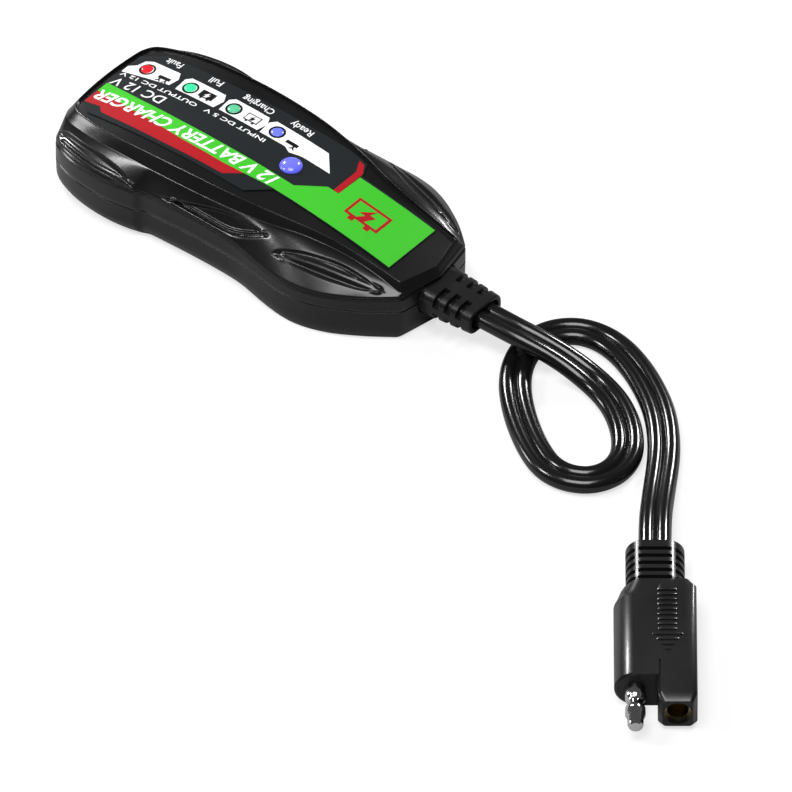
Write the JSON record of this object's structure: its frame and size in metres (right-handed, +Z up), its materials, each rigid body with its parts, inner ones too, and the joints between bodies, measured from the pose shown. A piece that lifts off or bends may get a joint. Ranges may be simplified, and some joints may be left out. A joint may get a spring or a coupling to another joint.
{
  "type": "car battery charger",
  "caption": "Palm-sized car battery charger with crowned roof, flared fenders, USB-C inlet, printed label with status lenses, push button, twin lead and two-pin plug.",
  "frame": {"origin": "middle of the housing's underside", "axes": "+X towards the nose where the lead leaves, +Y to the side of the status lenses, +Z up"},
  "size_m": [0.2337, 0.1088, 0.0226],
  "materials": {
    "housing": "satin black moulding",
    "label": "printed film",
    "button": "clear blue, lit",
    "lens_red": "lit lens",
    "lens_green": "lit lens",
    "lens_blue": "lit lens",
    "dark_component": "moulded epoxy",
    "white_component": "ceramic",
    "board": "solder mask",
    "capacitor": "drawn can",
    "steel": "plated",
    "brass": "tinned",
    "chrome": "bright nickel",
    "moulded_pvc": "semi-matt",
    "lead_jacket": "glossy flexible jacket",
    "lead_red": "insulated core"
  },
  "bodies": {
    "root": {"case_screws": "steel", "charge_controller_chip": "dark_component", "chip_resistors": "dark_component", "circuit_board": "board", "female_terminal": "brass", "filter_capacitors": "capacitor", "fuse": "white_component", "label_sheet": "label", "lead_negative": "lead_jacket", "lead_positive": "lead_red", "lens_charging": "lens_green", "lens_fault": "lens_red", "lens_full": "lens_green", "lens_ready": "lens_blue", "lower_shell": "housing", "male_pin": "chrome", "output_lead": "lead_jacket", "output_terminals": "brass", "plug_body": "moulded_pvc", "power_inductor": "dark_component", "power_transistors": "dark_component", "status_leds": "white_component", "strain_relief": "moulded_pvc", "tactile_switch": "dark_component", "upper_shell": "housing", "usb_c_shell": "steel", "usb_c_tongue": "dark_component"},
    "button": {"button_cap": "button", "switch_plunger": "dark_component"}
  },
  "joints": [
    {"name": "button_press", "type": "slide", "parent": "root", "child": "button", "axis": [0, 0, -1], "range_m": [0, 0.0003], "stiffness_N_per_m": 4000, "springref_m": -0.0001}
  ]
}
